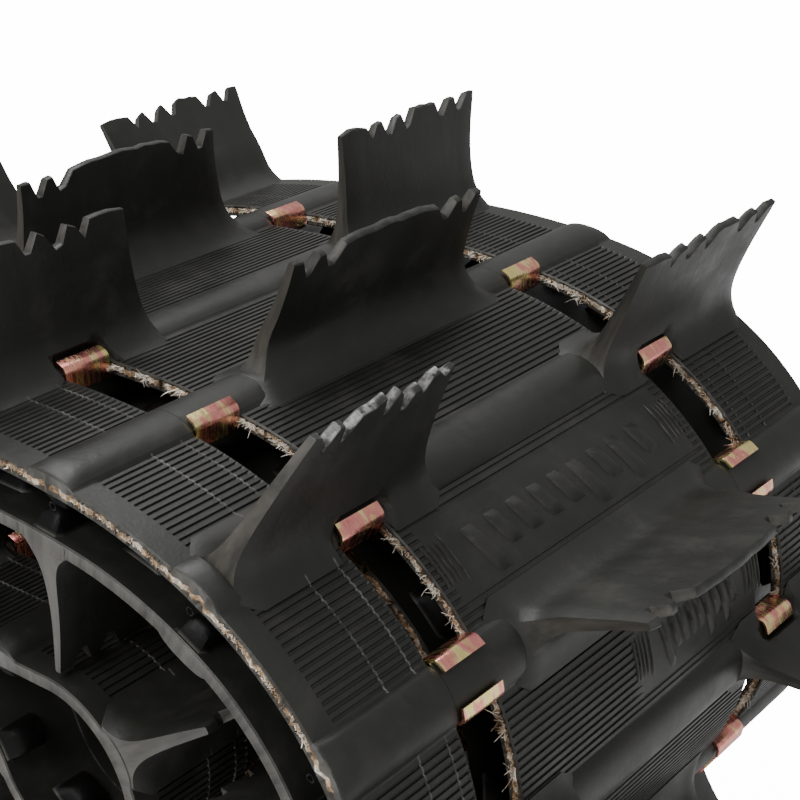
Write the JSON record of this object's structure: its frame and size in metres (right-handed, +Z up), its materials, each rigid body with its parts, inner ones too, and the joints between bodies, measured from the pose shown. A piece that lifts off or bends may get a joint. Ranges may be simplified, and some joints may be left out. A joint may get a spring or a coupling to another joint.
{
  "type": "snowmobile track",
  "caption": "Endless rubber track belt with tall paddle lugs, cross bars, drive windows and steel clips, folded double and rolled up for shipping.",
  "frame": {"origin": "bottom centre of the rolled track: on the plane that its lowest lugs stand on, below the middle of its bounding box", "axes": "+X along the axis of the roll, which is the width of the belt; +Y from the tight front of the roll towards the loose tail; +Z up"},
  "size_m": [0.416, 0.762, 0.4697],
  "materials": {
    "rubber": "moulded, slightly glossy",
    "glass_fibre": "sawn pultruded glass fibre",
    "zinc_steel": "yellow zinc plated, iridescent"
  },
  "bodies": {
    "core": {"belt_back": "rubber", "belt_bottom": "rubber", "belt_front_0": "rubber", "belt_front_1": "rubber", "belt_front_2": "rubber", "belt_front_lower": "rubber", "belt_inner_back": "rubber", "belt_inner_bottom": "rubber", "belt_inner_fold_end": "rubber", "belt_inner_fold_start": "rubber", "belt_inner_fold_turn": "rubber", "belt_inner_front_lower": "rubber", "belt_inner_front_upper": "rubber", "belt_inner_low": "rubber", "belt_inner_top": "rubber", "belt_inner_under": "rubber", "clip_left_front_0": "zinc_steel", "clip_left_front_1": "zinc_steel", "clip_left_front_2": "zinc_steel", "clip_right_front_0": "zinc_steel", "clip_right_front_1": "zinc_steel", "clip_right_front_2": "zinc_steel", "rod_front_0": "glass_fibre", "rod_front_1": "glass_fibre", "rod_front_2": "glass_fibre"},
    "section_1": {"belt_top_1": "rubber", "belt_under_1": "rubber", "clip_left_top_1": "zinc_steel", "clip_right_top_1": "zinc_steel", "rod_top_1": "glass_fibre"},
    "section_2": {"belt_top_2": "rubber", "belt_under_2": "rubber", "clip_left_top_2": "zinc_steel", "clip_right_top_2": "zinc_steel", "rod_top_2": "glass_fibre"},
    "section_3": {"belt_top_3": "rubber", "belt_under_3": "rubber", "clip_left_top_3": "zinc_steel", "clip_right_top_3": "zinc_steel", "rod_top_3": "glass_fibre"},
    "section_4": {"belt_top_4": "rubber", "belt_under_4": "rubber", "clip_left_top_4": "zinc_steel", "clip_right_top_4": "zinc_steel", "rod_top_4": "glass_fibre"},
    "tail": {"belt_tail_fold": "rubber", "belt_tail_start": "rubber", "belt_tail_top": "rubber", "belt_tail_under": "rubber"},
    "lug_centre_front_1_blade": {"lug_centre_front_1": "rubber"},
    "lug_centre_top_1_blade": {"lug_centre_top_1": "rubber"},
    "lug_centre_top_3_blade": {"lug_centre_top_3": "rubber"},
    "lug_left_front_0_blade": {"lug_left_front_0": "rubber"},
    "lug_left_front_2_blade": {"lug_left_front_2": "rubber"},
    "lug_left_top_2_blade": {"lug_left_top_2": "rubber"},
    "lug_left_top_4_blade": {"lug_left_top_4": "rubber"},
    "lug_right_front_0_blade": {"lug_right_front_0": "rubber"},
    "lug_right_front_2_blade": {"lug_right_front_2": "rubber"},
    "lug_right_top_2_blade": {"lug_right_top_2": "rubber"},
    "lug_right_top_4_blade": {"lug_right_top_4": "rubber"}
  },
  "joints": [
    {"name": "peel_1", "type": "hinge", "parent": "core", "child": "section_1", "pos_m": [0, -0.1696, 0.37665], "axis": [1, 0, 0], "range_deg": [0, 8]},
    {"name": "peel_2", "type": "hinge", "parent": "section_1", "child": "section_2", "pos_m": [0, -0.08111, 0.38304], "axis": [1, 0, 0], "range_deg": [0, 8]},
    {"name": "peel_3", "type": "hinge", "parent": "section_2", "child": "section_3", "pos_m": [0, 0.00762, 0.37784], "axis": [1, 0, 0], "range_deg": [0, 8]},
    {"name": "peel_4", "type": "hinge", "parent": "section_3", "child": "section_4", "pos_m": [0, 0.09576, 0.36661], "axis": [1, 0, 0], "range_deg": [0, 8]},
    {"name": "peel_5", "type": "hinge", "parent": "section_4", "child": "tail", "pos_m": [0, 0.18094, 0.34185], "axis": [1, 0, 0], "range_deg": [0, 8]},
    {"name": "flex_centre_front_1", "type": "hinge", "parent": "core", "child": "lug_centre_front_1_blade", "pos_m": [0, -0.30494, 0.3365], "axis": [1, 0, 0], "range_deg": [-20, 20], "stiffness_Nm_per_rad": 20},
    {"name": "flex_centre_top_1", "type": "hinge", "parent": "section_1", "child": "lug_centre_top_1_blade", "pos_m": [0, -0.13114, 0.42161], "axis": [1, 0, 0], "range_deg": [-20, 20], "stiffness_Nm_per_rad": 20},
    {"name": "flex_centre_top_3", "type": "hinge", "parent": "section_3", "child": "lug_centre_top_3_blade", "pos_m": [0, 0.05059, 0.41368], "axis": [1, 0, 0], "range_deg": [-20, 20], "stiffness_Nm_per_rad": 20},
    {"name": "flex_left_front_0", "type": "hinge", "parent": "core", "child": "lug_left_front_0_blade", "pos_m": [0, -0.22569, 0.40011], "axis": [1, 0, 0], "range_deg": [-20, 20], "stiffness_Nm_per_rad": 20},
    {"name": "flex_left_front_2", "type": "hinge", "parent": "core", "child": "lug_left_front_2_blade", "pos_m": [0, -0.33238, 0.23754], "axis": [1, 0, 0], "range_deg": [-20, 20], "stiffness_Nm_per_rad": 20},
    {"name": "flex_left_top_2", "type": "hinge", "parent": "section_2", "child": "lug_left_top_2_blade", "pos_m": [0, -0.03925, 0.42102], "axis": [1, 0, 0], "range_deg": [-20, 20], "stiffness_Nm_per_rad": 20},
    {"name": "flex_left_top_4", "type": "hinge", "parent": "section_4", "child": "lug_left_top_4_blade", "pos_m": [0, 0.14164, 0.39685], "axis": [1, 0, 0], "range_deg": [-20, 20], "stiffness_Nm_per_rad": 20},
    {"name": "flex_right_front_0", "type": "hinge", "parent": "core", "child": "lug_right_front_0_blade", "pos_m": [0, -0.22569, 0.40011], "axis": [1, 0, 0], "range_deg": [-20, 20], "stiffness_Nm_per_rad": 20},
    {"name": "flex_right_front_2", "type": "hinge", "parent": "core", "child": "lug_right_front_2_blade", "pos_m": [0, -0.33238, 0.23754], "axis": [1, 0, 0], "range_deg": [-20, 20], "stiffness_Nm_per_rad": 20},
    {"name": "flex_right_top_2", "type": "hinge", "parent": "section_2", "child": "lug_right_top_2_blade", "pos_m": [0, -0.03925, 0.42102], "axis": [1, 0, 0], "range_deg": [-20, 20], "stiffness_Nm_per_rad": 20},
    {"name": "flex_right_top_4", "type": "hinge", "parent": "section_4", "child": "lug_right_top_4_blade", "pos_m": [0, 0.14164, 0.39685], "axis": [1, 0, 0], "range_deg": [-20, 20], "stiffness_Nm_per_rad": 20}
  ]
}
